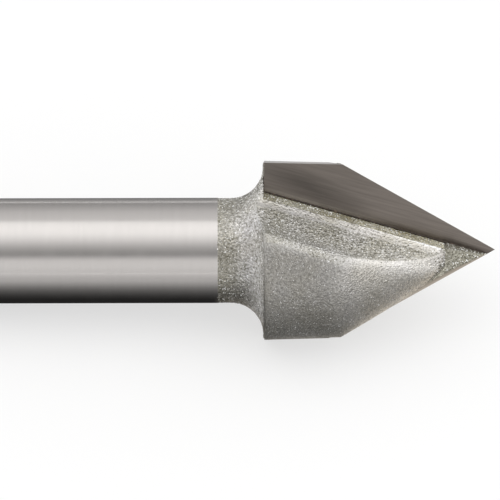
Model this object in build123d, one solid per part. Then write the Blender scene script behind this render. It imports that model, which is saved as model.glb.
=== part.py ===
from build123d import *
import math
import os

# Two flute V groove router bit with brazed carbide tips.
# All sizes are in millimetres and degrees. The axis of the bit lies along X,
# the point looks toward +X, and the origin is the centre of the shank's end
# face. The bit is rolled about its axis as it comes to rest on a flat surface.

# Shank and neck
shank_diameter = 6.35
shank_length = 31.75
shank_chamfer = 0.5
neck_diameter = 6.29
neck_length = 0.80

# Cutting profile: a slightly tapered side and the point of the V groove
cutting_diameter = 10.90
cutting_straight = 4.78
side_taper = 1.45
point_angle = 60.0
back_tip_setback = 0.06

# Head of the body, turned to stay inside the cutting profile
body_side_clearance = 0.05
body_side_taper = 1.90
body_point_clearance = 0.27
head_back_bevel = 0.12
head_back_land = 0.205
nose_web = 0.12

# Carbide tips, their clearance grinds and the braze under them
tip_thickness = 1.50
tip_end_inset = 0.05
tip_back_width = 1.80
outside_relief = 10.0
point_relief = 22.0
point_back_angle = 27.0
point_back_reach = 0.13
braze_gap = 0.06

# Seats and flutes
front_seat_setback = 0.51
seats_meet_setback = 2.94
ledge_height = 1.40
flute_radius = 4.50
flute_edge_slope = 43.0
heel_round_share = 0.12
runout_height = 0.60
runout_depth = 0.36

# Radii of the turned body and of the cutting profile
shank_radius = shank_diameter / 2
neck_radius = neck_diameter / 2
cutting_radius = cutting_diameter / 2
head_radius = cutting_radius - body_side_clearance
neck_fillet = head_radius - head_back_bevel - head_back_land - neck_radius
heel_round = head_radius * heel_round_share

# Cutting profile and body profile along the axis
neck_start = shank_length + abs(shank_radius - neck_radius)
neck_end = shank_length + neck_length
head_start = neck_end + neck_fillet
tip_start = head_start + tip_end_inset
side_slope = math.tan(math.radians(side_taper))
body_slope = math.tan(math.radians(body_side_taper))
point_slope = math.tan(math.radians(point_angle / 2))
cutting_corner = head_start + cutting_straight
corner_radius = cutting_radius - (cutting_corner - tip_start) * side_slope
front_apex = cutting_corner + corner_radius / point_slope
back_apex = front_apex - back_tip_setback
body_apex = front_apex - body_point_clearance
body_corner = ((body_apex * point_slope - head_radius - head_start * body_slope)
               / (point_slope - body_slope))

# The inner edges of the tips start at one radius and close in on the axis. The
# front one runs on to the back cutting edge, the back one to the front ledge.
seat_radius = cutting_radius - tip_back_width
front_foot = front_apex - front_seat_setback
front_foot_radius = (back_apex - front_foot) * point_slope
front_seat_slope = (seat_radius + front_foot_radius) / (front_foot - tip_start)
seats_meet = front_apex - seats_meet_setback
meet_radius = seat_radius - (seats_meet - tip_start) * front_seat_slope
back_seat_slope = (seat_radius + meet_radius) / (seats_meet - tip_start)
nose = seats_meet - nose_web / (front_seat_slope + back_seat_slope)

reach = 2 * cutting_diameter
half_turn = Rot(X=180)


def seat_edge(x, slope):
    """Distance of a seat's ledge from the axis at the place x."""
    return seat_radius - (x - tip_start) * slope


def seat_foot(x, slope):
    """Distance from the axis of the ledge itself, one braze gap lower."""
    return seat_edge(x, slope) - braze_gap * math.sqrt(1 + slope ** 2)


def blank():
    """The turned bar: shank, neck with its concave fillet, head and cone."""
    fillet_turn = neck_fillet * math.sqrt(0.5)
    before = Polyline(
        (neck_end, neck_radius),
        (neck_start, neck_radius),
        (shank_length, shank_radius),
        (shank_chamfer, shank_radius),
        (0, shank_radius - shank_chamfer),
        (0, 0),
        (nose, 0),
        (nose, (body_apex - nose) * point_slope),
        (body_corner, (body_apex - body_corner) * point_slope),
        (head_start + head_back_bevel, head_radius - head_back_bevel * body_slope),
        (head_start, head_radius - head_back_bevel),
        (head_start, neck_radius + neck_fillet),
    )
    hollow = ThreePointArc(
        (neck_end, neck_radius),
        (neck_end + fillet_turn, neck_radius + neck_fillet - fillet_turn),
        (head_start, neck_radius + neck_fillet),
    )
    return revolve(make_face([before, hollow]), Axis.X)


def seat_cut(slope):
    """Space of a tip, its braze and the open side in front of its face."""
    end = tip_start - braze_gap
    far = front_apex + reach
    foot = seat_foot(end, slope)
    outline = Polyline(
        (end, foot),
        (far, seat_foot(far, slope)),
        (far, reach),
        (end - runout_depth, reach),
        (end - runout_depth, foot + runout_height - runout_depth),
        (end, foot + runout_height),
        close=True,
    )
    floor = Plane.XY.offset(-tip_thickness - braze_gap)
    return extrude(floor * make_face(outline), tip_thickness + braze_gap + reach)


def flute_cut(slope):
    """Round groove in front of a tip, parallel to the ledge of its seat."""
    along = Vector(1, -slope, 0).normalized()
    up = Vector(slope, 1, 0).normalized()
    edge = math.radians(flute_edge_slope)
    rise = flute_radius * math.cos(edge)
    out = ledge_height + flute_radius * math.sin(edge)
    centre = Vector(tip_start, seat_radius, 0) + up * rise + Vector(0, 0, out)
    start = Plane(origin=centre - along * reach, x_dir=up, z_dir=along)
    return extrude(start * Circle(flute_radius), 3 * reach)


def tooth_space(slope):
    """All that is milled away for one tooth."""
    return seat_cut(slope) + flute_cut(slope)


def heel_edges(shape):
    """Long edges between the flute floors and the straight side of the head."""
    edges = []
    for face in shape.faces().filter_by(GeomType.CYLINDER):
        if abs(face.radius - flute_radius) < 0.001:
            on_side = face.edges().filter_by(lambda e: head_start < e.center().X < body_corner)
            long = on_side.filter_by(lambda e: e.length > cutting_straight / 2)
            edges += long.filter_by(lambda e: abs(e.center().Z) > ledge_height + flute_radius / 4)
    return edges


def body():
    """Steel body with two milled teeth and rounded heels."""
    milled = blank() - tooth_space(front_seat_slope)
    milled -= half_turn * tooth_space(back_seat_slope)
    return fillet(heel_edges(milled), heel_round)


def flank_plane(start, end, relief):
    """Clearance face that falls back from the cutting edge between two points."""
    along = Vector(end[0] - start[0], end[1] - start[1], 0).normalized()
    outward = Vector(along.Y, -along.X, 0)
    turn = math.radians(relief)
    normal = outward * math.cos(turn) - Vector(0, 0, math.sin(turn))
    return Plane(origin=(start[0], start[1], 0), x_dir=along, z_dir=normal)


def point_back_plane():
    """Back of the point, ground thinner toward its end to clear the groove."""
    turn = math.radians(point_back_angle)
    normal = Vector(math.sin(turn), 0, -math.cos(turn))
    return Plane(origin=(front_apex + point_back_reach, 0, 0), z_dir=normal)


def ground_plate(outline, edges, bottom, top):
    """Plate with the outline of a carbide tip and its ground clearances."""
    floor = Plane.XY.offset(bottom)
    plate = extrude(floor * make_face(Polyline(*outline, close=True)), top - bottom)
    for start, end, relief in edges:
        plate = split(plate, flank_plane(start, end, relief), keep=Keep.BOTTOM)
    return split(plate, point_back_plane(), keep=Keep.BOTTOM)


def edge_corners(apex):
    """Back end and corner of the cutting edge that aims at the given apex."""
    return (tip_start, cutting_radius), (apex - corner_radius / point_slope, corner_radius)


def front_outline():
    """Front tip's face and cutting edges. It crosses the centre to the point."""
    back, corner = edge_corners(front_apex)
    point_x = (front_apex + back_apex) / 2
    point = (point_x, (front_apex - point_x) * point_slope)
    foot = (front_foot, -front_foot_radius)
    outline = [(tip_start, seat_radius), foot, point, corner, back]
    edges = [(corner, back, outside_relief), (point, corner, point_relief), (foot, point, point_relief)]
    return outline, edges


def back_outline():
    """Back tip's face and cutting edges. It ends beside the front tip's foot."""
    back, corner = edge_corners(back_apex)
    meet = (seats_meet, -meet_radius)
    end = (front_foot, front_foot_radius)
    outline = [(tip_start, seat_radius), meet, end, corner, back]
    edges = [(corner, back, outside_relief), (end, corner, point_relief)]
    return outline, edges


def carbide_tip(outline, edges):
    """Carbide plate with its cutting face in the plane of the axis."""
    return ground_plate(outline, edges, -tip_thickness, 0)


def braze_film(outline, edges, slope):
    """Braze under a tip, along its ledge and round its back end."""
    under = ground_plate(outline, edges, -tip_thickness - braze_gap, -tip_thickness)
    end = tip_start - braze_gap
    foot = seat_foot(end, slope)
    seam = Polyline(
        (end, foot),
        (nose, seat_foot(nose, slope)),
        (nose, seat_edge(nose, slope)),
        (tip_start, seat_radius),
        (tip_start, foot + runout_height),
        (end, foot + runout_height),
        close=True,
    )
    floor = Plane.XY.offset(-tip_thickness - braze_gap)
    beside = extrude(floor * make_face(seam), tip_thickness + braze_gap)
    return (under + beside) & blank()


def rest_roll():
    """Roll that lays the back cutting edge and the heel across its flute level."""
    lean = math.sqrt(1 + back_seat_slope ** 2)
    edge = math.radians(flute_edge_slope)
    rise = seat_radius + flute_radius * math.cos(edge) * lean
    out = ledge_height + flute_radius * math.sin(edge)
    radius = head_radius - heel_round
    low, high = math.radians(45), math.radians(90)
    while high - low > 0.0001:
        heel = (low + high) / 2
        height = (radius * math.cos(heel) - rise) / lean
        depth = radius * math.sin(heel) - out
        if math.hypot(height, depth) < flute_radius + heel_round:
            low = heel
        else:
            high = heel
    level = radius * math.cos(heel) - cutting_radius
    across = radius * math.sin(heel)
    down = math.atan2(across, level) - math.acos(-heel_round / math.hypot(across, level))
    return 90 - math.degrees(down)


def main():
    front, back = front_outline(), back_outline()
    solids = {
        "body": body(),
        "cutter_front": carbide_tip(*front),
        "cutter_back": half_turn * carbide_tip(*back),
        "braze_front": braze_film(*front, front_seat_slope),
        "braze_back": half_turn * braze_film(*back, back_seat_slope),
    }
    os.makedirs("parts", exist_ok=True)
    at_rest = Rot(X=rest_roll())
    for name, solid in solids.items():
        export_step(at_rest * solid, f"parts/{name}.step")
    print("roll", round(rest_roll(), 2), "overall length", round((front_apex + back_apex) / 2, 2))


main()
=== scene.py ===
"""Looks of a two flute V groove router bit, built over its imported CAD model."""

import math

import bmesh
import bpy
from bpy.props import FloatProperty, FloatVectorProperty, IntProperty, PointerProperty
from mathutils import Matrix, Vector


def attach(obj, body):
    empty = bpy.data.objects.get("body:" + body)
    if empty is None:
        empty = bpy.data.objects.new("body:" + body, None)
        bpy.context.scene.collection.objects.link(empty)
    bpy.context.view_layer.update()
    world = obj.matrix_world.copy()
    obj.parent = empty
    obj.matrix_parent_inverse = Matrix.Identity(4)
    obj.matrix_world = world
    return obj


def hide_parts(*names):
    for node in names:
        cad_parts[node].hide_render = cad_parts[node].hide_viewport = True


bl_info = {
    "name": "V Groove Router Bit",
    "version": (1, 0, 0),
    "blender": (4, 5, 0),
    "location": "View3D > Sidebar > Router Bit",
    "description": "Dresses a brazed two flute V groove router bit in steel, carbide and blasted grain",
    "category": "Object",
}

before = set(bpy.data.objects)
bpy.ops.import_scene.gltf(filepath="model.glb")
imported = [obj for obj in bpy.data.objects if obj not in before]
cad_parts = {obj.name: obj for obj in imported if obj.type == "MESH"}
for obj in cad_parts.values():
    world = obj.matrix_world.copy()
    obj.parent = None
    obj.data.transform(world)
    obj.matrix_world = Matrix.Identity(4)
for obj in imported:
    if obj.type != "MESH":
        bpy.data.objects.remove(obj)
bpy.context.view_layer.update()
MM = 0.001

# Places along the axis and radii, in millimetres, as the CAD model has them.
SHANK_LENGTH = 31.75
SHANK_RADIUS = 3.175
HEAD_START = 34.48
TIP_START = 34.53
SEAT_RADIUS = 3.65
SEAT_DEPTH = 1.56
LEDGE_HEIGHT = 1.4
FRONT_FOOT = 47.98
FRONT_FOOT_RADIUS = -0.26
SEATS_MEET = 45.55
SEATS_MEET_RADIUS = -0.446
NOSE = 45.37
REST_DEPTH = 4.55
ROLL = math.radians(56.01)
FLOOR_SLOPE = math.atan((REST_DEPTH - SHANK_RADIUS) / TIP_START)

# A flute's floor lies this far below the edge of its ledge, and its smooth top this far above.
FLUTE_DROP = 1.21
CALM_HEIGHT = 0.95

# Fall of each ledge toward the axis, for the front tooth and the back one.
LEDGE_FALL = {1: (SEAT_RADIUS - FRONT_FOOT_RADIUS) / (FRONT_FOOT - TIP_START),
              -1: (SEAT_RADIUS - SEATS_MEET_RADIUS) / (SEATS_MEET - TIP_START)}

# How near a face lies to a ledge, past its top and to the floor of a seat, in millimetres.
NEAR_LEDGE = 0.15
PAST_LEDGE = 0.1
NEAR_FLOOR = 0.05

# Cosines: how well a face lines up with a wall, a floor, the turned sides and a cutting
# face, and how much a face looks outward or ahead at least.
ALONG_WALL = 0.998
ALONG_FLOOR = 0.95
ALONG_TURNING = 0.995
ALONG_CUTTING = 0.9
OUTWARD = 0.3
AHEAD = 0.5

# Lengths in millimetres that tones along the axis, across the neck and along a tip span.
AXIS_SPAN = 50
NECK_SPAN = 8
TIP_SPAN = 60

# Settings of a node that multiplies two colours, and plain white.
MULTIPLY = {"data_type": "RGBA", "blend_type": "MULTIPLY", "Factor": 1.0}
WHITE = (1, 1, 1, 1)


def linear(hex_colour):
    """Linear RGB of an sRGB hex colour such as "a5a29b"."""
    parts = [int(hex_colour[i:i + 2], 16) / 255 for i in (0, 2, 4)]
    return tuple(p / 12.92 if p <= 0.04045 else ((p + 0.055) / 1.055) ** 2.4 for p in parts)


class ROUTERBIT_PG_finish(bpy.types.PropertyGroup):
    """Colours of the finishes"""

    ground_steel: FloatVectorProperty(
        name="Ground Steel", description="Colour of the ground shank",
        subtype="COLOR", size=3, min=0, max=1, default=linear("cdc9c6"))
    blasted_steel: FloatVectorProperty(
        name="Blasted Steel", description="Colour of the blasted neck and head",
        subtype="COLOR", size=3, min=0, max=1, default=linear("aeacaa"))
    carbide: FloatVectorProperty(
        name="Carbide", description="Colour of the ground carbide tips",
        subtype="COLOR", size=3, min=0, max=1, default=linear("756e68"))
    braze: FloatVectorProperty(
        name="Braze", description="Colour of the blasted silver braze",
        subtype="COLOR", size=3, min=0, max=1, default=linear("b9b5a6"))
    flux: FloatVectorProperty(
        name="Flux", description="Colour of the burnt flux in the joints",
        subtype="COLOR", size=3, min=0, max=1, default=linear("3d3228"))


class ROUTERBIT_PG_grain(bpy.types.PropertyGroup):
    """Grain that the blasting leaves on the head"""

    size: FloatProperty(
        name="Grain Size", description="Width of the largest grains",
        subtype="DISTANCE", unit="LENGTH", min=0.00002, max=0.0003, default=0.00011)
    density: FloatProperty(
        name="Grain Density", description="Grains on each square metre of the head",
        min=0, max=2e8, default=7.0e7)
    seed: IntProperty(name="Seed", description="Seed of the grain's places", default=7)


class ROUTERBIT_PG_braze(bpy.types.PropertyGroup):
    """Bead of braze along the tips"""

    radius: FloatProperty(
        name="Bead Radius", description="Radius of the bead along each ledge",
        subtype="DISTANCE", unit="LENGTH", min=0.00001, max=0.0003, default=0.00006)
    unevenness: FloatProperty(
        name="Unevenness", description="Share by which the bead swells and thins",
        subtype="FACTOR", min=0, max=1, default=0.7)


class ROUTERBIT_PG_stage(bpy.types.PropertyGroup):
    """Floor, light and camera"""

    elevation: FloatProperty(
        name="Camera Elevation", description="Height of the camera above the horizon",
        subtype="ANGLE", unit="ROTATION", default=math.radians(49.5))
    roll: FloatProperty(
        name="Camera Roll", description="Turn of the camera about its own line of sight",
        subtype="ANGLE", unit="ROTATION", default=math.radians(0.13))
    frame_width: FloatProperty(
        name="Frame Width", description="Width of the view at the axis of the bit",
        subtype="DISTANCE", unit="LENGTH", default=0.03015)
    frame_centre: FloatProperty(
        name="Frame Centre", description="Place along the axis at the middle of the view",
        subtype="DISTANCE", unit="LENGTH", default=0.03368)
    lens: FloatProperty(
        name="Lens", description="Focal length in millimetres", subtype="DISTANCE_CAMERA",
        default=300.0)


def bit_point(x, v, w):
    """Point of the lying bit from its axis place, face height and face depth in millimetres."""
    return Matrix.Rotation(ROLL, 3, "X") @ Vector((x * MM, v * MM, w * MM))


def local(vector):
    """A vector of the lying bit in the frame of its front cutting face, in millimetres."""
    return Matrix.Rotation(-ROLL, 3, "X") @ vector / MM


def node(tree, kind, settings=(), links=()):
    """Adds a node with its settings (attributes, socket values or ramp stops) and its links,
    to sockets or to the first output of nodes, in a column right of what it links to."""
    new = tree.nodes.new(kind)
    for name, value in dict(settings).items():
        if name == "stops":
            elements = new.color_ramp.elements
            elements.remove(elements[1])
            elements[0].position = value[0][0]
            added = [elements[0]] + [elements.new(at) for at, _ in value[1:]]
            for element, (_, level) in zip(added, value):
                element.color = (*level, 1) if isinstance(level, tuple) else (level, level, level, 1)
        elif isinstance(name, str) and hasattr(new, name):
            setattr(new, name, value)
        else:
            new.inputs[name].default_value = value
    column = 0
    for name, source in dict(links).items():
        if isinstance(source, bpy.types.Node):
            source = next(socket for socket in source.outputs if socket.enabled)
        tree.links.new(source, new.inputs[name])
        column = max(column, source.node.location.x + 250)
    above = [other for other in tree.nodes if other != new and other.location.x == column]
    new.location = (column, -300 * len(above))
    return new


def new_material(name):
    """An empty node material and its tree."""
    material = bpy.data.materials.new(name)
    material.use_nodes = True
    material.node_tree.nodes.clear()
    return material, material.node_tree


def tinted(colour, tone):
    """A colour times a tone, which is one number or one for each channel."""
    tones = tone if isinstance(tone, tuple) else (tone, tone, tone)
    return tuple(c * t for c, t in zip(colour, tones))


def stops_along(start, span, stops):
    """Ramp stops whose places are given in millimetres, as shares of a span from its start."""
    return [((place - start) / span, tone) for place, tone in stops]


def ground_steel():
    """Hardened steel, centreless ground: even bands of reflection, drawn out along
    the axis by fine rings round the shank, with a faint grey cast."""
    material, tree = new_material("ground_steel")
    colour = bpy.context.scene.routerbit_finish.ground_steel
    here = {"Vector": node(tree, "ShaderNodeTexCoord").outputs["Object"]}
    # Wheel marks are 20 micrometres apart; drawn 90 apart, so that they show.
    rings = node(tree, "ShaderNodeMapping", {"Scale": (11000, 500, 500)}, here)
    marks = node(tree, "ShaderNodeTexNoise", {"Scale": 1.0, "Detail": 3.0}, {"Vector": rings})
    # Haze from handling, about 1 mm wide, changes the gloss.
    haze = node(tree, "ShaderNodeTexNoise", {"Scale": 900.0, "Detail": 4.0}, here)
    rough = node(tree, "ShaderNodeValToRGB", {"stops": [(0.3, 0.15), (0.7, 0.22)]}, {"Fac": haze})
    tint = node(tree, "ShaderNodeMix", {
        "data_type": "RGBA", "A": (*tinted(colour, 0.92), 1), "B": (*colour, 1)}, {"Factor": marks})
    bump = node(tree, "ShaderNodeBump", {"Strength": 0.08, "Distance": 0.01 * MM}, {"Height": marks})
    shader = node(tree, "ShaderNodeBsdfPrincipled", {"Metallic": 1.0},
                  {"Base Color": tint, "Roughness": rough, "Normal": bump})
    node(tree, "ShaderNodeOutputMaterial", links={"Surface": shader})
    return material


def crest_tone(tree, here):
    """Painted highlights and calmness by height above the flutes: the rounded heels and the
    top of each flute are painted paler, as highlights, and their specks are smoother."""
    unroll = node(tree, "ShaderNodeMapping", {"Rotation": (-ROLL, 0, 0)}, here)
    axes = node(tree, "ShaderNodeSeparateXYZ", links={"Vector": unroll})
    tooth = node(tree, "ShaderNodeMath", {"operation": "SIGN"}, {0: axes.outputs["Z"]})
    height = node(tree, "ShaderNodeMath", {"operation": "MULTIPLY"}, {0: axes.outputs["Y"], 1: tooth})
    mean, half = (LEDGE_FALL[1] + LEDGE_FALL[-1]) / 2, (LEDGE_FALL[1] - LEDGE_FALL[-1]) / 2
    fall = node(tree, "ShaderNodeMath", {"operation": "MULTIPLY_ADD", 1: half, 2: mean}, {0: tooth})
    along = node(tree, "ShaderNodeMath", {"operation": "SUBTRACT", 1: TIP_START * MM},
                 {0: axes.outputs["X"]})
    above = node(tree, "ShaderNodeMath", {"operation": "MULTIPLY_ADD"}, {0: along, 1: fall, 2: height})
    # Heights above the flute's floor, from 1 mm below it to 1.5 mm above.
    low, span = -1.0, 2.5
    share = node(tree, "ShaderNodeMath", {
        "operation": "MULTIPLY_ADD", 1: 1 / (span * MM), 2: (FLUTE_DROP - SEAT_RADIUS - low) / span},
        {0: above})
    # Painted highlights: a band along the rounded heel, and a brighter, bluish one at the top of the
    # flute.
    tone = node(tree, "ShaderNodeValToRGB", {"stops": stops_along(low, span, [
        (-0.95, 1.0), (-0.5, (1.22, 1.23, 1.25)), (-0.1, (1.52, 1.54, 1.58)),
        (0.2, (1.28, 1.29, 1.31)), (0.55, 1.0), (0.75, 1.0),
        (1.0, (1.45, 1.45, 1.48)), (1.15, (1.90, 1.92, 1.97))])}, {"Fac": share})
    calm = node(tree, "ShaderNodeValToRGB", {"stops": stops_along(low, span, [
        (-0.8, 0.0), (-0.4, 0.6), (-0.15, 0.6), (0.15, 0.0), (0.75, 0.0), (1.0, 0.9)])}, {"Fac": share})
    return tone, calm


def blasted(name, colour, grain, depth, edge, stained, metallic, roughness, specks,
            painted_crests=False, sides=(), cone=1.0, frost=()):
    """Surface blasted with grit: dents of the given grain and depth in millimetres, edges
    rounded by the radius edge, the tone of its stains, how metallic and rough it is, and
    the tones of its deepest and highest dents. It may have painted highlights on the heels
    and flute tops, painted shade from side to side, cone, a share that paints the cone paler
    still as a painted highlight, and frost, a metallic share along the axis. Tones multiply
    the colour, and their places are in millimetres."""
    material, tree = new_material(name)
    here = {"Vector": node(tree, "ShaderNodeTexCoord").outputs["Object"]}
    dents = node(tree, "ShaderNodeTexNoise",
                 {"Scale": 1 / (grain * MM), "Detail": 2.0, "Roughness": 0.6}, here)
    grit = node(tree, "ShaderNodeTexVoronoi", {"Scale": 1.1 / (grain * MM)}, here)
    # Stains are about 2 mm wide.
    stain = node(tree, "ShaderNodeTexNoise", {"Scale": 1 / (2 * MM), "Detail": 4.0}, here)
    axes = node(tree, "ShaderNodeSeparateXYZ", links=here)
    share = node(tree, "ShaderNodeMath", {"operation": "MULTIPLY", 1: 1 / (AXIS_SPAN * MM)},
                 {0: axes.outputs["X"]})
    # The masked end of the neck stays darker, and braze has run out at the foot of the point.
    # Where the fillet meets the head, and along the cone, the tone is painted paler, a painted
    # highlight, on the cone more so by the share cone.
    ends = node(tree, "ShaderNodeValToRGB", {"stops": stops_along(0, AXIS_SPAN, [
        (31.8, (0.91, 0.90, 0.84)), (32.5, (0.93, 0.92, 0.87)), (33.1, 1.0), (33.6, (1.02, 1.02, 1.04)),
        (34.2, (1.30, 1.31, 1.35)), (34.47, (1.30, 1.31, 1.35)), (34.5, 1.0), (38.2, 1.0),
        (40.3, 1.22 * cone), (42.5, 1.28 * cone), (44.0, 1.42 * cone), (45.2, 1.42 * cone), (45.6, 1.0),
        (47.5, (1.0, 1.0, 0.98)), (47.9, (1.10, 1.06, 0.90))])}, {"Fac": share})
    height = node(tree, "ShaderNodeMath", {"operation": "ADD"}, {0: dents, 1: grit.outputs["Distance"]})
    soft = node(tree, "ShaderNodeBevel", {"samples": 6, "Radius": edge * MM})
    bump = node(tree, "ShaderNodeBump", {"Strength": 1.0, "Distance": depth * MM},
                {"Height": height, "Normal": soft})
    speckled = node(tree, "ShaderNodeValToRGB", {
        "stops": [(0.30, specks[0]), (0.5, 0.95), (0.70, specks[1])]}, {"Fac": dents})
    tone = node(tree, "ShaderNodeValToRGB", {"stops": [(0.38, stained), (0.62, 1.0)]}, {"Fac": stain})
    layers = [ends, tone, speckled]
    # Painted highlights on the heels and the flute tops, where the specks are also calmer.
    if painted_crests:
        paler, calm = crest_tone(tree, here)
        soft_specks = node(tree, "ShaderNodeMix", {"data_type": "RGBA", "B": WHITE},
                           {"Factor": calm, "A": speckled})
        layers[2:] = [soft_specks, paler]
    # Painted shade: darker toward the front of the neck, paler toward its back.
    if sides:
        beside = node(tree, "ShaderNodeMath", {
            "operation": "MULTIPLY_ADD", 1: 1 / (NECK_SPAN * MM), 2: 0.5}, {0: axes.outputs["Y"]})
        layers.append(node(tree, "ShaderNodeValToRGB", {
            "stops": stops_along(-NECK_SPAN / 2, NECK_SPAN, sides)}, {"Fac": beside}))
    # The first layer multiplies the colour, and each other one what the last gives.
    base = {}
    for layer in layers:
        base = {"A": node(tree, "ShaderNodeMix", {**MULTIPLY, "A": (*colour, 1)}, {**base, "B": layer})}
    links = {"Base Color": base["A"], "Normal": bump}
    if frost:
        links["Metallic"] = node(tree, "ShaderNodeValToRGB", {
            "stops": stops_along(0, AXIS_SPAN, frost)}, {"Fac": share})
    shader = node(tree, "ShaderNodeBsdfPrincipled",
                  {"Metallic": metallic, "Roughness": roughness}, links)
    node(tree, "ShaderNodeOutputMaterial", links={"Surface": shader})
    return material


def blasted_turning():
    """Turned sides of the head after blasting: even, pale and fine grained, with soft
    broad highlights, partly painted on the heels and on the cone. Its dents are 60 to 120 micrometres
    wide."""
    steel = tinted(bpy.context.scene.routerbit_finish.blasted_steel, (0.84, 0.83, 0.805))
    return blasted("blasted_turning", steel, grain=0.12, depth=0.028, edge=0.55,
                   stained=(0.92, 0.91, 0.87), metallic=0.88, roughness=0.28, specks=(0.60, 1.22),
                   painted_crests=True, cone=1.28)


def blasted_milling():
    """Milled flutes after blasting: coarser and livelier than the turned sides, with
    olive stains. Its dents are up to 0.2 mm wide."""
    steel = tinted(bpy.context.scene.routerbit_finish.blasted_steel, (0.86, 0.85, 0.81))
    return blasted("blasted_milling", steel, grain=0.15, depth=0.05, edge=0.55,
                   stained=(0.90, 0.89, 0.83), metallic=0.85, roughness=0.30,
                   specks=((0.36, 0.35, 0.28), 1.5), painted_crests=True)


def blasted_neck():
    """Neck and fillet after blasting: as coarse as the flutes, with painted shade toward the
    front and painted light toward the back, and frosted pale where the fillet meets the
    head, partly a painted highlight."""
    steel = tinted(bpy.context.scene.routerbit_finish.blasted_steel, 1.13)
    return blasted("blasted_neck", steel, grain=0.15, depth=0.03, edge=0.45,
                   stained=(0.92, 0.91, 0.86), metallic=0.90, roughness=0.20,
                   specks=((0.45, 0.44, 0.38), 1.35), sides=[
                       (-3.12, (1.04, 1.04, 1.03)), (-2.8, (0.86, 0.86, 0.85)),
                       (-2.08, (0.82, 0.81, 0.79)), (-0.96, 1.0), (0.8, (1.12, 1.12, 1.10))],
                   frost=[(33.2, 0.90), (34.1, 0.35)])


def blasted_braze():
    """Silver braze that ran over the back of the tips and was blasted with the steel: an
    olive grey, half dull from flux."""
    silver = tinted(bpy.context.scene.routerbit_finish.braze, (0.76, 0.77, 0.79))
    return blasted("blasted_braze", silver, grain=0.13, depth=0.05, edge=0.20,
                   stained=(0.90, 0.89, 0.86), metallic=0.60, roughness=0.34,
                   specks=((0.40, 0.39, 0.34), 1.5))


def blasted_ledge():
    """Walls of the ledges, wetted by braze and blasted: grey olive, dull and rough, so
    that they stay light above the dark carbide that they mirror."""
    silver = tinted(bpy.context.scene.routerbit_finish.braze, (0.92, 0.92, 0.88))
    return blasted("blasted_ledge", silver, grain=0.12, depth=0.05, edge=0.06,
                   stained=(0.62, 0.59, 0.50), metallic=0.20, roughness=0.50,
                   specks=((0.22, 0.19, 0.12), 1.9))


def glint(name, metallic, tones):
    """Crumbs that the blasting raised, each with small facets: some bright, some dull."""
    material, tree = new_material(name)
    here = {"Vector": node(tree, "ShaderNodeTexCoord").outputs["Object"]}
    # Tones change every 0.15 mm, which is about from crumb to crumb.
    spread = node(tree, "ShaderNodeTexNoise", {"Scale": 6500.0, "Detail": 1.0}, here)
    tone = node(tree, "ShaderNodeValToRGB", {
        "stops": [(at, linear(colour)) for at, colour in tones]}, {"Fac": spread})
    shader = node(tree, "ShaderNodeBsdfPrincipled", {"Metallic": metallic, "Roughness": 0.26},
                  {"Base Color": tone})
    node(tree, "ShaderNodeOutputMaterial", links={"Surface": shader})
    return material


def glint_steel():
    """Steel crumbs: bright facets that catch the light, and dull olive ones."""
    return glint("glint_steel", 0.9, [(0.34, "6f6c5d"), (0.5, "b8b6af"), (0.66, "f3f3f2")])


def glint_braze():
    """Braze and glass crumbs: whiter and less metallic, so that they sparkle even above
    the dark carbide."""
    return glint("glint_braze", 0.3, [(0.40, "595545"), (0.5, "adaca2"), (0.58, "fffffd")])


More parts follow.
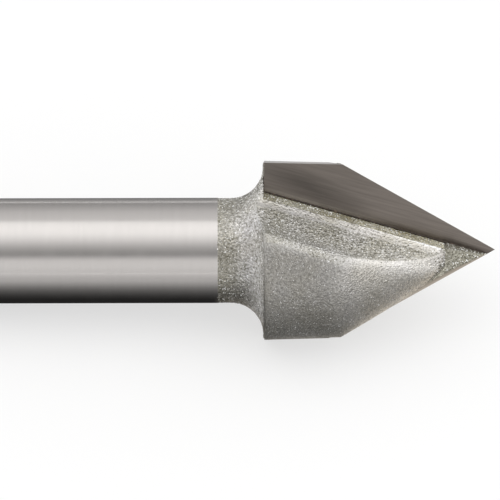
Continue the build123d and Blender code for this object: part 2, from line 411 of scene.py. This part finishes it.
def ground_carbide(name, tooth):
    """Tungsten carbide ground on a diamond wheel: dark warm grey, satin, with fine
    straight grinding lines along the ledge, a painted dark reflection at the wide end
    and a painted highlight along the ledge."""
    material, tree = new_material(name)
    colour = bpy.context.scene.routerbit_finish.carbide
    here = {"Vector": node(tree, "ShaderNodeTexCoord").outputs["Object"]}
    turn = -ROLL if tooth > 0 else math.pi - ROLL
    unroll = node(tree, "ShaderNodeMapping", {"Rotation": (turn, 0, 0)}, here)
    slant = math.atan(LEDGE_FALL[tooth])
    foot = -(TIP_START * math.sin(slant) + SEAT_RADIUS * math.cos(slant)) * MM
    level = node(tree, "ShaderNodeMapping", {
        "Rotation": (turn, 0, slant), "Location": (0, foot, 0)}, here)
    # Diamond grit leaves lines about 30 micrometres apart; drawn 125 apart to show.
    along = node(tree, "ShaderNodeMapping", {"Scale": (300, 8000, 8000)}, {"Vector": level})
    lines = node(tree, "ShaderNodeTexNoise", {"Scale": 1.0, "Detail": 3.0}, {"Vector": along})
    # Painted reflection: the wide end of each tip is darker, in a slanting patch with soft ends.
    middle, patch_slant = (-37.0 * MM, -4.05 * MM, 0), math.radians(24)
    long, wide = 4.8 * MM, 1.05 * MM
    centre = node(tree, "ShaderNodeMapping", {"Location": middle}, {"Vector": unroll})
    lean = node(tree, "ShaderNodeMapping", {"Rotation": (0, 0, patch_slant)}, {"Vector": centre})
    patch = node(tree, "ShaderNodeMapping", {"Scale": (1 / long, 1 / wide, 0)}, {"Vector": lean})
    reach = node(tree, "ShaderNodeVectorMath", {"operation": "LENGTH"}, {0: patch})
    dark_reflection_patch = node(tree, "ShaderNodeValToRGB", {"stops": [(0.1, 0.58), (0.6, 0.82), (1.0, 1.0)]},
               {"Fac": reach})
    tone = node(tree, "ShaderNodeValToRGB", {
        "stops": [(0.3, tinted(colour, 0.88)), (0.7, tinted(colour, 1.14))]}, {"Fac": lines})
    # Painted highlight: a paler band, 0.3 mm wide, runs along the ledge.
    axes = node(tree, "ShaderNodeSeparateXYZ", links={"Vector": level})
    near = node(tree, "ShaderNodeMath", {"operation": "MULTIPLY", 1: 1 / MM}, {0: axes.outputs["Y"]})
    painted_ledge_highlight = node(tree, "ShaderNodeValToRGB", {"stops": [
        (0.0, (1.75, 1.80, 1.88)), (0.22, (1.60, 1.64, 1.70)), (0.42, 1.0)]}, {"Fac": near})
    wide_end = node(tree, "ShaderNodeMath", {"operation": "MULTIPLY", 1: 1 / (TIP_SPAN * MM)},
                    {0: axes.outputs["X"]})
    fades = node(tree, "ShaderNodeValToRGB", {
        "stops": stops_along(0, TIP_SPAN, [(37.5, 1.0), (40.5, 0.0)])}, {"Fac": wide_end})
    # Toward the point the same band is darker instead.
    dim = node(tree, "ShaderNodeValToRGB", {"stops": [
        (0.0, (0.58, 0.56, 0.56)), (0.15, (0.74, 0.72, 0.72)), (0.34, 1.14)]}, {"Fac": near})
    edge = node(tree, "ShaderNodeMix", {"data_type": "RGBA"}, {"Factor": fades, "A": dim, "B": painted_ledge_highlight})
    with_dark_reflection = node(tree, "ShaderNodeMix", MULTIPLY, {"A": tone, "B": dark_reflection_patch})
    base = node(tree, "ShaderNodeMix", MULTIPLY, {"A": with_dark_reflection, "B": edge})
    bump = node(tree, "ShaderNodeBump", {"Strength": 0.12, "Distance": 0.01 * MM}, {"Height": lines})
    shader = node(tree, "ShaderNodeBsdfPrincipled", {"Metallic": 1.0, "Roughness": 0.30},
                  {"Base Color": base, "Normal": bump})
    node(tree, "ShaderNodeOutputMaterial", links={"Surface": shader})
    return material


def ground_carbide_front():
    """The carbide of the front tip, with its lines along the front ledge."""
    return ground_carbide("ground_carbide_front", 1)


def ground_carbide_back():
    """The carbide of the back tip, with its lines along the back ledge."""
    return ground_carbide("ground_carbide_back", -1)


def burnt_flux():
    """Burnt flux and dark braze left in the corner of the joints: a thin, uneven,
    brown black line with a dull gloss."""
    material, tree = new_material("burnt_flux")
    colour = bpy.context.scene.routerbit_finish.flux
    here = {"Vector": node(tree, "ShaderNodeTexCoord").outputs["Object"]}
    # Lumps of flux are about 0.25 mm wide.
    lumps = node(tree, "ShaderNodeTexNoise", {"Scale": 1 / (0.25 * MM), "Detail": 3.0}, here)
    tone = node(tree, "ShaderNodeValToRGB", {
        "stops": [(0.35, tinted(colour, 0.6)), (0.60, tuple(colour)), (0.75, tinted(colour, 4))]},
        {"Fac": lumps})
    bump = node(tree, "ShaderNodeBump", {"Strength": 0.6, "Distance": 0.02 * MM}, {"Height": lumps})
    shader = node(tree, "ShaderNodeBsdfPrincipled", {"Metallic": 0.0, "Roughness": 0.55},
                  {"Base Color": tone, "Normal": bump})
    node(tree, "ShaderNodeOutputMaterial", links={"Surface": shader})
    return material


def finish(maker):
    """The material of a maker, which is named for it, made once."""
    return bpy.data.materials.get(maker.__name__) or maker()


def merged_copy(node_name):
    """A closed copy of a CAD node's mesh, with its doubles merged."""
    mesh = bmesh.new()
    mesh.from_mesh(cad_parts[node_name].data)
    bmesh.ops.remove_doubles(mesh, verts=mesh.verts, dist=0.001 * MM)
    mesh.normal_update()
    return mesh


def cut(mesh, place, normal, clear=False):
    """Cuts a mesh along a plane, and may take away what lies behind it."""
    bmesh.ops.bisect_plane(mesh, geom=mesh.verts[:] + mesh.edges[:] + mesh.faces[:],
                           plane_co=place, plane_no=normal, clear_inner=clear)


def drop(mesh, faces):
    """Takes faces out of a mesh."""
    bmesh.ops.delete(mesh, geom=faces, context="FACES")


def on_ledge(face):
    """Whether a face of the body is one of the walls beside the cutting faces."""
    place, normal = local(face.calc_center_median()), local(face.normal).normalized()
    for tooth, fall in LEDGE_FALL.items():
        wall = Vector((fall, tooth, 0)).normalized()
        edge = SEAT_RADIUS - (place.x - TIP_START) * fall
        beside = abs(tooth * place.y - edge) < NEAR_LEDGE
        level = -SEAT_DEPTH < tooth * place.z < LEDGE_HEIGHT + PAST_LEDGE
        if beside and level and wall.dot(normal) > ALONG_WALL:
            return True
    return False


def under_tip(face):
    """Whether a face of the body lies in a seat, under a tip and its braze."""
    place, normal = local(face.calc_center_median()), local(face.normal).normalized()
    floor = abs(normal.z) > ALONG_FLOOR and abs(abs(place.z) - SEAT_DEPTH) < NEAR_FLOOR
    wall = on_ledge(face) and place.y * place.z < 0
    return floor or wall


def finish_of(face):
    """Maker of the finish of a face, by its place along the axis and how it looks outward."""
    centre = face.calc_center_median()
    if centre.x < SHANK_LENGTH * MM:
        return ground_steel
    if centre.x < HEAD_START * MM:
        return blasted_neck
    if on_ledge(face):
        return blasted_ledge
    radial = Vector((0, centre.y, centre.z)).normalized()
    facing = Vector((0, face.normal.y, face.normal.z))
    turned = facing.length > OUTWARD and radial.dot(facing.normalized()) > ALONG_TURNING
    return blasted_turning if turned else blasted_milling


def mesh_object(mesh, name):
    """Object of a bmesh, at the origin, with plain normals."""
    data = bpy.data.meshes.new(name)
    mesh.to_mesh(data)
    mesh.free()
    for spare in ("custom_normal", "sharp_edge", "sharp_face"):
        if spare in data.attributes:
            data.attributes.remove(data.attributes[spare])
    piece = bpy.data.objects.new(name, data)
    bpy.context.scene.collection.objects.link(piece)
    return piece


def dress(piece, makers, sharp):
    """Gives a piece its finishes, and smooth faces with sharp edges above an angle in degrees."""
    for maker in makers:
        piece.data.materials.append(finish(maker))
    piece.data.shade_smooth()
    piece.data.set_sharp_from_angle(angle=math.radians(sharp))


def node_group(name, inputs):
    """Geometry node tree with a geometry input and named inputs, and its input node."""
    group = bpy.data.node_groups.new(name, "GeometryNodeTree")
    for label, kind in {"Geometry": "NodeSocketGeometry", **inputs}.items():
        group.interface.new_socket(label, in_out="INPUT", socket_type=kind)
    group.interface.new_socket("Geometry", in_out="OUTPUT", socket_type="NodeSocketGeometry")
    return group, node(group, "NodeGroupInput")


def end_group(group, start, geometry):
    """Ends a tree: makes its geometry real and gives it the material of the inputs."""
    real = node(group, "GeometryNodeRealizeInstances", links={"Geometry": geometry})
    dressed = node(group, "GeometryNodeSetMaterial", links={
        "Geometry": real, "Material": start.outputs["Material"]})
    node(group, "NodeGroupOutput", links={"Geometry": dressed})


def run_nodes(piece, group, values, name):
    """Puts the tree on the piece, sets its inputs by identifier, and gives a plain mesh
    object of what it makes. The piece itself goes, with its modifier."""
    modifier = piece.modifiers.new(group.name, "NODES")
    modifier.node_group = group
    for item in group.interface.items_tree:
        if item.item_type == "SOCKET" and item.in_out == "INPUT" and item.name in values:
            modifier[item.identifier] = values[item.name]
    depsgraph = bpy.context.evaluated_depsgraph_get()
    data = bpy.data.meshes.new_from_object(piece.evaluated_get(depsgraph))
    data.name = name
    bpy.data.objects.remove(piece)
    result = bpy.data.objects.new(name, data)
    bpy.context.scene.collection.objects.link(result)
    return result


class ROUTERBIT_OT_body(bpy.types.Operator):
    """Dress the steel body: ground shank, blasted neck and head"""

    bl_idname = "routerbit.body"
    bl_label = "Steel Body"

    def execute(self, context):
        mesh = merged_copy("body")
        finishes = (ground_steel, blasted_neck, blasted_turning, blasted_milling, blasted_ledge)
        for face in mesh.faces:
            face.material_index = finishes.index(finish_of(face))
        piece = mesh_object(mesh, "bit_body")
        dress(piece, finishes, sharp=24)
        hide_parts("body")
        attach(piece, "root")
        return {"FINISHED"}


class ROUTERBIT_OT_tips(bpy.types.Operator):
    """Dress the two carbide tips, with the faintly broken edges of ground carbide"""

    bl_idname = "routerbit.tips"
    bl_label = "Carbide Tips"

    def execute(self, context):
        flat, broken = math.radians(1), 0.012 * MM
        for node_name, piece_name, tooth, ground in (
                ("cutter_front", "front_tip", 1, ground_carbide_front),
                ("cutter_back", "back_tip", -1, ground_carbide_back)):
            mesh = merged_copy(node_name)
            bmesh.ops.dissolve_limit(mesh, angle_limit=flat, verts=mesh.verts, edges=mesh.edges)
            bmesh.ops.bevel(mesh, geom=mesh.edges, offset=broken, segments=2, profile=0.5,
                            affect="EDGES", clamp_overlap=True)
            mesh.normal_update()
            ahead, outward = bit_point(0, 0, tooth / MM), bit_point(0, tooth / MM, 0)
            for face in mesh.faces:
                wheel = face.normal.dot(ahead) > ALONG_CUTTING or face.normal.dot(outward) > OUTWARD
                face.material_index = 0 if wheel else 1
            piece = mesh_object(mesh, piece_name)
            dress(piece, (ground, blasted_braze), sharp=20)
            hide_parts(node_name)
            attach(piece, "root")
        return {"FINISHED"}


class ROUTERBIT_OT_braze(bpy.types.Operator):
    """Lay the braze seams with the uneven bead that follows each ledge"""

    bl_idname = "routerbit.braze"
    bl_label = "Braze Seams"

    def execute(self, context):
        sizes = context.scene.routerbit_braze
        # The beads lie just below the cutting face and start just inside the tips' ends. The
        # front one stops short of the point, by so much along the axis and up the ledge.
        start, sunk = TIP_START + 0.05, -0.02
        short, rise = 0.35, 0.10
        half_turn = Matrix.Diagonal((1, -1, -1))
        front_line = [bit_point(start, SEAT_RADIUS, sunk),
                      bit_point(FRONT_FOOT - short, FRONT_FOOT_RADIUS + rise, sunk)]
        back_line = [half_turn @ bit_point(start, SEAT_RADIUS, sunk),
                     half_turn @ bit_point(SEATS_MEET, SEATS_MEET_RADIUS, sunk)]
        for node_name, piece_name, line in (("braze_front", "front_braze", front_line),
                                            ("braze_back", "back_braze", back_line)):
            bead = self.bead(line, sizes, piece_name)
            mesh = merged_copy(node_name)
            film = set(mesh.faces)
            mesh.from_mesh(bead.data)
            bpy.data.objects.remove(bead)
            for face in mesh.faces:
                inner = face in film and face.calc_center_median().x > TIP_START * MM
                face.material_index = 0 if inner else 1
            piece = mesh_object(mesh, piece_name)
            dress(piece, (blasted_braze, burnt_flux), sharp=30)
            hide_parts(node_name)
            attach(piece, "root")
        return {"FINISHED"}

    def bead(self, line, sizes, name):
        """Bead along a line, swelling and thinning by noise."""
        path = bmesh.new()
        path.edges.new([path.verts.new(p) for p in line])
        piece = mesh_object(path, name + "_line")
        group, start = node_group("braze_bead", {
            "Radius": "NodeSocketFloat", "Unevenness": "NodeSocketFloat",
            "Material": "NodeSocketMaterial"})
        curve = node(group, "GeometryNodeMeshToCurve", links={"Mesh": start.outputs["Geometry"]})
        fine = node(group, "GeometryNodeResampleCurve", {"Count": 220}, {"Curve": curve})
        # The bead swells and thins about every 0.3 mm.
        noise = node(group, "ShaderNodeTexNoise", {"Scale": 3500.0, "Detail": 2.0})
        swell = node(group, "ShaderNodeMath", {"operation": "MULTIPLY_ADD", 1: 2.0, 2: -1.0},
                     {0: noise})
        share = node(group, "ShaderNodeMath", {"operation": "MULTIPLY_ADD", 2: 1.0},
                     {0: swell, 1: start.outputs["Unevenness"]})
        radius = node(group, "ShaderNodeMath", {"operation": "MULTIPLY"},
                      {0: share, 1: start.outputs["Radius"]})
        ring = node(group, "GeometryNodeCurvePrimitiveCircle", {"Resolution": 10, "Radius": 1.0})
        tube = node(group, "GeometryNodeCurveToMesh", {"Fill Caps": True},
                    {"Curve": fine, "Profile Curve": ring, "Scale": radius})
        end_group(group, start, tube)
        return run_nodes(piece, group, {"Radius": sizes.radius, "Unevenness": sizes.unevenness,
                                        "Material": finish(burnt_flux)}, name + "_bead")


class ROUTERBIT_OT_grain(bpy.types.Operator):
    """Scatter the grain that blasting leaves on the head, and the braze grit on the ledges"""

    bl_idname = "routerbit.grain"
    bl_label = "Blasted Grain"

    def execute(self, context):
        sizes = context.scene.routerbit_grain
        # Name, slot and finish, shares of the density and size, and where the grains lie.
        scatters = (
            ("blast_grain", "steel", glint_steel, 1.0, 1.0, self.rough_faces),
            ("turned_grain", "steel", glint_steel, 1.0, 0.62, self.turned_faces),
            ("ledge_grit", "braze", glint_braze, 0.65, 1.15, self.ledge_faces),
            ("braze_grit", "braze", glint_braze, 0.50, 1.15, self.tip_back_faces),
        )
        for name, slot, maker, crowd, width, faces in scatters:
            carrier = mesh_object(faces(), name + "_carrier")
            piece = run_nodes(carrier, self.grain_nodes(), {
                "Size": sizes.size * width, "Density": sizes.density * crowd, "Seed": sizes.seed,
                "Material": finish(maker)}, name)
            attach(piece, "root")
        return {"FINISHED"}

    def rough_faces(self):
        """Neck and flutes without the ledges, what the tips cover and the calm top of each flute."""
        mesh = merged_copy("body")
        for tooth, fall in LEDGE_FALL.items():
            crest = bit_point(TIP_START, tooth * (SEAT_RADIUS - FLUTE_DROP + CALM_HEIGHT), 0)
            cut(mesh, crest, bit_point(fall / MM, tooth / MM, 0))
        drop(mesh, [f for f in mesh.faces if finish_of(f) not in (blasted_neck, blasted_milling)
                    or under_tip(f) or self.calm(f)])
        return mesh

    def turned_faces(self):
        """Turned sides of the head."""
        mesh = merged_copy("body")
        drop(mesh, [f for f in mesh.faces if finish_of(f) is not blasted_turning])
        return mesh

    def calm(self, face):
        """Whether a face lies at the smooth top of a flute, right beside a ledge."""
        place = local(face.calc_center_median())
        tooth = 1 if place.z > 0 else -1
        above = (place.x - TIP_START) * LEDGE_FALL[tooth] + tooth * place.y
        return place.x > HEAD_START and above > SEAT_RADIUS - FLUTE_DROP + CALM_HEIGHT

    def ledge_faces(self):
        """The open part of the two ledges, above the cutting faces."""
        mesh = merged_copy("body")
        drop(mesh, [f for f in mesh.faces if not on_ledge(f)])
        cut(mesh, (0, 0, 0), bit_point(0, 0, 1 / MM))
        drop(mesh, [f for f in mesh.faces if under_tip(f)])
        return mesh

    def tip_back_faces(self):
        """Nose of the body, and the backs of the two tips beyond it, which share its braze."""
        mesh = bmesh.new()
        for node_name, past_nose, tooth in (("cutter_front", 0.1, 1), ("cutter_back", 0.1, -1),
                                            ("body", -0.7, 0)):
            part = merged_copy(node_name)
            cut(part, ((NOSE + past_nose) * MM, 0, 0), (1, 0, 0), clear=True)
            part.normal_update()
            # On the tips all that looks ahead or outward goes, and on the body the seats.
            tilts = [(f, tooth * local(f.normal).normalized()) for f in part.faces]
            drop(part, [f for f, tilt in tilts
                        if tilt.z > AHEAD or tilt.y > OUTWARD or not tooth and under_tip(f)])
            data = bpy.data.meshes.new("backs")
            part.to_mesh(data)
            part.free()
            mesh.from_mesh(data)
            bpy.data.meshes.remove(data)
        return mesh

    def grain_nodes(self):
        """Tree that strews small flat grains of eight facets, half sunk, over a mesh."""
        flatness, tilt, smallest = 0.55, 0.4, 0.45
        group, start = node_group("blasted_grain", {
            "Size": "NodeSocketFloat", "Density": "NodeSocketFloat", "Seed": "NodeSocketInt",
            "Material": "NodeSocketMaterial"})
        points = node(group, "GeometryNodeDistributePointsOnFaces", links={
            "Mesh": start.outputs["Geometry"], "Density": start.outputs["Density"],
            "Seed": start.outputs["Seed"]})
        grain = node(group, "GeometryNodeMeshUVSphere", {"Radius": 0.5, "Segments": 4, "Rings": 2})
        flat = node(group, "GeometryNodeTransform", {"Scale": (1, 1, flatness)}, {"Geometry": grain})
        lean = node(group, "FunctionNodeRandomValue", {
            "data_type": "FLOAT_VECTOR", 0: (-tilt, -tilt, 0), 1: (tilt, tilt, math.tau)},
            {"Seed": start.outputs["Seed"]})
        spin = node(group, "FunctionNodeEulerToRotation", links={"Euler": lean})
        turn = node(group, "FunctionNodeRotateRotation", {"rotation_space": "LOCAL"},
                    {"Rotation": points.outputs["Rotation"], "Rotate By": spin})
        share = node(group, "FunctionNodeRandomValue", {
            "data_type": "FLOAT", 2: smallest, 3: 1.0}, {"Seed": start.outputs["Seed"]})
        scale = node(group, "ShaderNodeMath", {"operation": "MULTIPLY"},
                     {0: share, 1: start.outputs["Size"]})
        place = node(group, "GeometryNodeInstanceOnPoints", links={
            "Points": points, "Instance": flat, "Rotation": turn, "Scale": scale})
        end_group(group, start, place)
        return group


class ROUTERBIT_OT_stage(bpy.types.Operator):
    """Set the pale floor, the soft studio light and the camera"""

    bl_idname = "routerbit.stage"
    bl_label = "Stage"

    def execute(self, context):
        self.floor()
        self.card()
        self.light()
        self.camera(context.scene.routerbit_stage)
        return {"FINISHED"}

    def floor(self):
        """White floor that touches the head and the end of the shank."""
        radius, clearance = 0.6, 0.01 * MM
        mesh = bmesh.new()
        bmesh.ops.create_circle(mesh, cap_ends=True, segments=96, radius=radius)
        mesh.transform(Matrix.Translation((TIP_START * MM, 0, -REST_DEPTH * MM - clearance))
                       @ Matrix.Rotation(FLOOR_SLOPE, 4, "Y"))
        floor = mesh_object(mesh, "floor")
        material, tree = new_material("white_floor")
        ray = node(tree, "ShaderNodeLightPath")
        seen = node(tree, "ShaderNodeMath", {"operation": "ADD"},
                    {0: ray.outputs["Is Camera Ray"], 1: ray.outputs["Is Glossy Ray"]})
        shown = node(tree, "ShaderNodeMath", {"operation": "ADD"},
                     {0: seen, 1: ray.outputs["Is Transmission Ray"]})
        # Over half of what is seen is plain white, and the rest takes light and keeps the shadow.
        share = node(tree, "ShaderNodeMath", {"operation": "MULTIPLY", 1: 0.6}, {0: shown})
        paint = node(tree, "ShaderNodeBsdfDiffuse", {"Color": (*linear("f2f2f1"), 1)})
        white = node(tree, "ShaderNodeEmission", {"Color": WHITE, "Strength": 1.0})
        surface = node(tree, "ShaderNodeMixShader", links={0: share, 1: paint, 2: white})
        side = node(tree, "ShaderNodeNewGeometry")
        clear = node(tree, "ShaderNodeBsdfTransparent")
        # From below, the floor is left out, so that the underside of the bit shows.
        one_sided = node(tree, "ShaderNodeMixShader", links={
            0: side.outputs["Backfacing"], 1: surface, 2: clear})
        node(tree, "ShaderNodeOutputMaterial", links={"Surface": one_sided})
        floor.data.materials.append(material)

    def card(self):
        """Glowing sheet on the floor round the bit, graduated from dark to pale: painted shade
        of the floor near the bit. Only reflections see it, and it gives the metal the dark
        lower and upper edges of a studio photograph."""
        mesh = bmesh.new()
        # Two sheets in an L: one in front, from the shank's end past the point, and one behind
        # the shank alone.
        for left, near, right, far in ((-2, -80, 140, 3), (-2, 3, 33, 80)):
            corners = [(left, near), (right, near), (right, far), (left, far)]
            heights = [(TIP_START - x) * math.tan(FLOOR_SLOPE) - REST_DEPTH for x, _ in corners]
            mesh.faces.new([mesh.verts.new((x * MM, y * MM, z * MM))
                            for (x, y), z in zip(corners, heights)])
        card = mesh_object(mesh, "painted_shade_card")
        for ray in ("camera", "diffuse", "transmission", "volume_scatter", "shadow"):
            setattr(card, "visible_" + ray, False)
        material, tree = new_material("painted_shade_card")
        width = 160
        axes = node(tree, "ShaderNodeSeparateXYZ", links={
            "Vector": node(tree, "ShaderNodeTexCoord").outputs["Object"]})
        away = node(tree, "ShaderNodeMath", {
            "operation": "MULTIPLY_ADD", 1: 1 / (width * MM), 2: 0.5}, {0: axes.outputs["Y"]})
        # Painted shade: darkest right beside the bit, paler away from it.
        dark = node(tree, "ShaderNodeValToRGB", {"stops": stops_along(-width / 2, width, [
            (-80, 0.80), (-40, 0.76), (-16, 0.64), (-11.2, 0.44), (-6.88, 0.16), (-4.8, 0.06),
            (-3.36, 0.02), (0.8, 0.02), (4.8, 0.08), (9.6, 0.20), (22.4, 0.34), (40, 0.44),
            (80, 0.5)])}, {"Fac": away})
        # Past the neck the painted shade is paler, and under the head it turns to a warm painted light.
        grey = node(tree, "ShaderNodeValToRGB", {"stops": stops_along(-width / 2, width, [
            (-80, 0.78), (-40, 0.70), (-16, 0.52), (-8, 0.30), (-4.48, 0.18),
            (-2.56, linear("f9f0e2"))])}, {"Fac": away})
        forward = node(tree, "ShaderNodeMapRange", {"From Min": 31.5 * MM, "From Max": 36 * MM},
                       {"Value": axes.outputs["X"]})
        fade = node(tree, "ShaderNodeMix", {"data_type": "RGBA"},
                    {"Factor": forward, "A": dark, "B": grey})
        # Toward the shank's end the card fades into the white of the floor.
        inward = node(tree, "ShaderNodeMapRange", {
            "interpolation_type": "SMOOTHSTEP", "From Min": -2 * MM, "From Max": 16 * MM},
            {"Value": axes.outputs["X"]})
        soft = node(tree, "ShaderNodeMix", {"data_type": "RGBA", "A": WHITE}, {
            "Factor": inward, "B": fade})
        # The sheet glows with this painted shade and light, though it is no lamp.
        shine = node(tree, "ShaderNodeEmission", {"Strength": 1.0}, {"Color": soft})
        node(tree, "ShaderNodeOutputMaterial", links={"Surface": shine})
        card.data.materials.append(material)

    def light(self):
        """World like a light tent round the bit, with the dark of the camera's side."""
        world = bpy.data.worlds.new("studio")
        bpy.context.scene.world = world
        world.use_nodes = True
        tree = world.node_tree
        tree.nodes.clear()
        axes = node(tree, "ShaderNodeSeparateXYZ", links={
            "Vector": node(tree, "ShaderNodeTexCoord").outputs["Generated"]})
        towards = node(tree, "ShaderNodeMath", {"operation": "MULTIPLY", 1: -1.0},
                       {0: axes.outputs["Y"]})
        angle = node(tree, "ShaderNodeMath", {"operation": "ARCTAN2"},
                     {0: axes.outputs["Z"], 1: towards})
        share = node(tree, "ShaderNodeMath", {
            "operation": "MULTIPLY_ADD", 1: 0.5 / math.pi, 2: 0.5}, {0: angle})
        # Angle from the camera's horizon over the top to the back, with the light there. All
        # ramps hold half of each level, and the strength at the end makes up for it.
        bands = [(-180, 0.4), (-90, 0.35), (-20, 0.6), (0, 0.90), (14, 1.05), (28, 1.03), (33, 0.78),
                 (40, 0.40), (50, 0.52), (60, 0.76), (72, 1.14), (86, 1.52), (100, 1.62), (115, 1.47),
                 (118, 0.98), (143, 0.84), (165, 0.55), (180, 0.4)]
        glow = node(tree, "ShaderNodeValToRGB", {
            "stops": [((a + 180) / 360, v / 2) for a, v in bands]}, {"Fac": share})
        across = node(tree, "ShaderNodeMath", {"operation": "MULTIPLY_ADD", 1: 0.5, 2: 0.5},
                      {0: axes.outputs["X"]})
        side = node(tree, "ShaderNodeValToRGB", {"stops": [
            (0.18, 1.0), (0.35, 0.0), (0.60, 0.0), (0.78, 1.0)]}, {"Fac": across})
        # To the left and right stand soft lamps, a low one and a high one, by the height that
        # they are seen at. The left high one is the brightest.
        height = node(tree, "ShaderNodeMath", {"operation": "MULTIPLY_ADD", 1: 0.5, 2: 0.5},
                      {0: axes.outputs["Z"]})
        lamps = (
            [(-0.4, 0.5), (-0.05, 0.8), (0.06, 1.4), (0.2, 1.6), (0.35, 1.3), (0.5, 0.8), (0.64, 1.0),
             (0.76, 2.4), (0.84, 3.4), (0.92, 2.4)],
            [(-0.4, 0.5), (-0.10, 1.0), (0.0, 1.5), (0.12, 1.6), (0.38, 1.6), (0.52, 1.0), (0.65, 1.3),
             (0.8, 2.0), (0.95, 1.6)])
        bluish = 1.01
        left, right = [node(tree, "ShaderNodeValToRGB", {
            "stops": [(0.5 + z / 2, (v / 2, v / 2, v / 2 * bluish)) for z, v in lamp]},
            {"Fac": height}) for lamp in lamps]
        where = node(tree, "ShaderNodeMath", {"operation": "GREATER_THAN", 1: 0.5}, {0: across})
        tent = node(tree, "ShaderNodeMix", {"data_type": "RGBA"}, {
            "Factor": where, "A": left, "B": right})
        mix = node(tree, "ShaderNodeMix", {"data_type": "RGBA"},
                   {"Factor": side, "A": glow, "B": tent})
        shine = node(tree, "ShaderNodeBackground", {"Strength": 1.82}, {"Color": mix})
        node(tree, "ShaderNodeOutputWorld", links={"Surface": shine})

    def camera(self, stage):
        """Long lens at the angle of the photograph, which looks just above the bit's axis."""
        sensor, rise = 36, 0.02 * MM
        data = bpy.data.cameras.new("camera")
        data.lens = stage.lens
        data.sensor_width = sensor
        data.clip_start = 0.01
        data.clip_end = 10
        camera = bpy.data.objects.new("camera", data)
        bpy.context.scene.collection.objects.link(camera)
        distance = stage.frame_width * stage.lens / sensor
        back = Vector((0, -math.cos(stage.elevation), math.sin(stage.elevation)))
        up = Vector((0, math.sin(stage.elevation), math.cos(stage.elevation)))
        target = Vector((stage.frame_centre, 0, 0)) + up * rise
        turn = Matrix.Rotation(-stage.roll, 3, back)
        axes = Matrix((turn @ Vector((1, 0, 0)), turn @ up, back)).transposed()
        camera.matrix_world = Matrix.Translation(target + back * distance) @ axes.to_4x4()
        bpy.context.scene.camera = camera


class ROUTERBIT_PT_panel(bpy.types.Panel):
    """Panel with the steps and the sizes of the bit"""

    bl_label = "V Groove Router Bit"
    bl_idname = "ROUTERBIT_PT_panel"
    bl_space_type = "VIEW_3D"
    bl_region_type = "UI"
    bl_category = "Router Bit"

    def draw(self, context):
        for name in GROUPS:
            box = self.layout.box()
            group = getattr(context.scene, name)
            for setting in group.bl_rna.properties.keys():
                if setting not in ("rna_type", "name"):
                    box.prop(group, setting)
        for step in STEPS:
            self.layout.operator(step.bl_idname)


GROUPS = {
    "routerbit_finish": ROUTERBIT_PG_finish,
    "routerbit_grain": ROUTERBIT_PG_grain,
    "routerbit_braze": ROUTERBIT_PG_braze,
    "routerbit_stage": ROUTERBIT_PG_stage,
}
STEPS = (ROUTERBIT_OT_body, ROUTERBIT_OT_tips, ROUTERBIT_OT_braze, ROUTERBIT_OT_grain,
         ROUTERBIT_OT_stage)


def register():
    """Registers the settings, the steps and the panel."""
    for name, group in GROUPS.items():
        bpy.utils.register_class(group)
        setattr(bpy.types.Scene, name, PointerProperty(type=group))
    for part in (*STEPS, ROUTERBIT_PT_panel):
        bpy.utils.register_class(part)


def unregister():
    """Takes the panel, the steps and the settings out again."""
    for part in (ROUTERBIT_PT_panel, *reversed(STEPS)):
        bpy.utils.unregister_class(part)
    for name, group in GROUPS.items():
        delattr(bpy.types.Scene, name)
        bpy.utils.unregister_class(group)


def main():
    """Registers the add-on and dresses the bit."""
    register()
    bpy.context.scene.view_settings.view_transform = "Standard"
    bpy.ops.routerbit.body()
    bpy.ops.routerbit.tips()
    bpy.ops.routerbit.braze()
    bpy.ops.routerbit.grain()
    bpy.ops.routerbit.stage()


if __name__ == "__main__":
    main()
